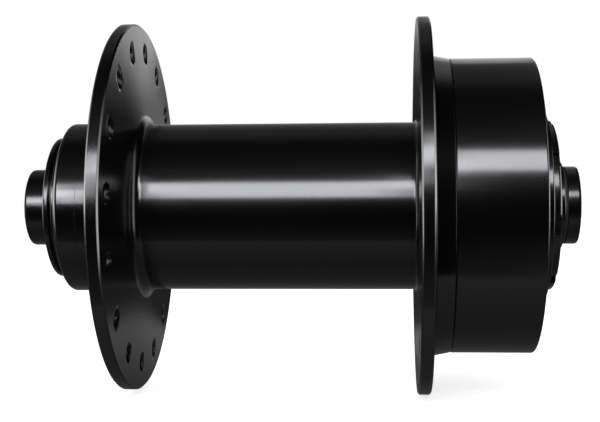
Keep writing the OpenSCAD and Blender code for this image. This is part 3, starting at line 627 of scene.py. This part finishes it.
# The dust cap is a thin turned washer with two lips and a dark groove between them. It
# is anodised like the end caps and pressed onto the left one.
dust_fit_r = dust_seat_r + 0.02
dust_in = dust_high.y / mm
lip_r = dust_high.x / mm
lip_gap_r = 15.8
lip_1 = dust_out + 1.2
lip_2 = lip_1 + 0.8
lip_end = lip_2 + 0.7
skirt_r = 15.0
skirt_bore_r = 14.0
sleeve_r = 11.9
dust_cap = turned("dust_cap", [
    (dust_fit_r, dust_out, 0.1), (lip_r, dust_out, 0.35), (lip_r, lip_1, 0.12),
    (lip_gap_r, lip_1, 0.08), (lip_gap_r, lip_2, 0.08), (lip_r, lip_2, 0.12),
    (lip_r, lip_end, 0.12), (skirt_r, lip_end, 0.1), (skirt_r, dust_in, 0.1),
    (skirt_bore_r, dust_in, 0.1), (skirt_bore_r, lip_end, 0.1), (sleeve_r, lip_end, 0.1),
    (sleeve_r, dust_in, 0.1), (dust_fit_r, dust_in, 0.1)], segments=256)
finish_piece(dust_cap, "fixed_axle", cap_black, "left_dust_cap")


# The seals are moulded rubber: the lip seals in the cover and the lock ring, the washers
# of the two bearings, and the round rings that seal the drum, hold the end caps and lie
# beside the collar.
def rubber(name, base=0.012, roughness=0.62):
    """Moulded rubber with a dull bloom and a fine skin texture."""
    material = bpy.data.materials.new(name)
    n = Nodes(material)
    place = n.node("TexCoord", output="Object")
    skin_grain = n.node("TexNoise", Vector=place, Scale=2600.0, Detail=3.0)
    bloom = n.node("TexNoise", Vector=place, Scale=240.0, Detail=3.0)
    colour = n.node("MixRGB", Fac=bloom, Color1=grey(base),
                    Color2=(base * 2.2, base * 2.2, base * 2.1, 1.0))
    bumped = n.node("Bump", Strength=0.35, Distance=0.00004, Height=skin_grain)
    skin = n.node("BsdfPrincipled", Base_Color=colour, Normal=bumped,
                  Roughness=roughness + (bloom - 0.5) * 0.2)
    n.node("OutputMaterial", Surface=skin)
    return material


def dress(material, *nodes):
    """Gives CAD nodes a finish in place of their plain one."""
    for name in nodes:
        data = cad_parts[name].data
        data.materials.clear()
        data.materials.append(material)


dress(rubber("seal_rubber"), "left_cover_seal", "lock_ring_seal", "housing_seal_ring",
      "left_cap_ring", "right_cap_ring", "collar_ring")
dress(rubber("bearing_seal_rubber", base=0.016, roughness=0.5),
      "left_bearing_seals", "right_bearing_seals")


# The two bearings have rings ground from steel, polished steel balls and a moulded nylon
# cage. They are pressed into the shell and the drum and slide onto the axle.
def metal(name, colour, roughness, lines=0.3):
    """Bare or plated metal with fine turning or grinding marks and faint stains."""
    stain = 0.24
    material = bpy.data.materials.new(name)
    n = Nodes(material)
    place = n.node("TexCoord", output="Object")
    x = n.node("SeparateXYZ", _0=place, output="X")
    y = n.node("SeparateXYZ", _0=place, output="Y")
    z = n.node("SeparateXYZ", _0=place, output="Z")
    ring = n.node("CombineXYZ", X=(x * x + z * z) ** 0.5, Y=y, Z=0.0)
    marks = n.node("TexNoise", Vector=ring, Scale=4200.0, Detail=2.0)
    cloud = n.node("TexNoise", Vector=place, Scale=160.0, Detail=4.0)
    dull = tuple(c * (1 - stain) for c in colour)
    tint = n.node("MixRGB", Fac=cloud, Color1=(*colour, 1.0), Color2=(*dull, 1.0))
    bumped = n.node("Bump", Strength=lines, Distance=0.00002, Height=marks)
    skin = n.node("BsdfPrincipled", Base_Color=tint, Metallic=1.0, Normal=bumped,
                  Roughness=roughness + (cloud - 0.5) * 0.16 + (marks - 0.5) * 0.1)
    n.node("OutputMaterial", Surface=skin)
    return material


def plastic(name, colour, roughness=0.45):
    """Moulded plastic with a faint orange peel and slight changes of tone."""
    mottle = 0.25
    material = bpy.data.materials.new(name)
    n = Nodes(material)
    place = n.node("TexCoord", output="Object")
    peel = n.node("TexNoise", Vector=place, Scale=1500.0, Detail=2.0)
    cloud = n.node("TexNoise", Vector=place, Scale=220.0, Detail=3.0)
    deep = tuple(c * (1 - mottle) for c in colour)
    tint = n.node("MixRGB", Fac=cloud, Color1=(*colour, 1.0), Color2=(*deep, 1.0))
    bumped = n.node("Bump", Strength=0.25, Distance=0.00003, Height=peel)
    skin = n.node("BsdfPrincipled", Base_Color=tint, Normal=bumped,
                  Roughness=roughness + (cloud - 0.5) * 0.12)
    n.node("OutputMaterial", Surface=skin)
    return material


dress(metal("race_steel", (0.6, 0.61, 0.63), roughness=0.2), "left_outer_race",
      "left_inner_race", "right_outer_race", "right_inner_race")
dress(metal("ball_steel", (0.72, 0.73, 0.75), roughness=0.08, lines=0.05),
      "left_balls", "right_balls")
dress(plastic("cage_nylon", (0.6, 0.52, 0.34)), "left_ball_cage", "right_ball_cage")

# The generator's turning half is a soft iron ring with nickel plated magnets, fixed in
# the drum. Its still half is clamped on the axle by a nut: pressed claw plates, a steel
# core, and a copper winding on its moulded bobbin.
dress(metal("flux_steel", (0.36, 0.36, 0.38), roughness=0.4), "flux_ring")
dress(metal("magnet_nickel", (0.58, 0.57, 0.54), roughness=0.22), "magnets")
dress(metal("claw_steel", (0.3, 0.31, 0.33), roughness=0.38), "left_claw_plate",
      "right_claw_plate", "stator_core")
dress(plastic("bobbin_plastic", (0.68, 0.64, 0.5)), "coil_bobbin")
dress(metal("winding_copper", (0.62, 0.25, 0.1), roughness=0.3, lines=0.8), "coil_winding")
dress(metal("nut_zinc", (0.52, 0.53, 0.52), roughness=0.32), "stator_nut")

# The axle is a plain turned aluminium tube. Two insulated wires run in its slot to a
# moulded block that holds two stamped brass blades, behind the right end cap.
dress(metal("axle_aluminium", (0.56, 0.57, 0.59), roughness=0.28), "axle")
dress(plastic("wire_insulation", (0.32, 0.02, 0.02), roughness=0.35), "lead_wires")
dress(plastic("terminal_plastic", (0.02, 0.02, 0.021), roughness=0.5), "terminal_block")
dress(metal("terminal_brass", (0.72, 0.5, 0.2), roughness=0.24), "terminal_blades")
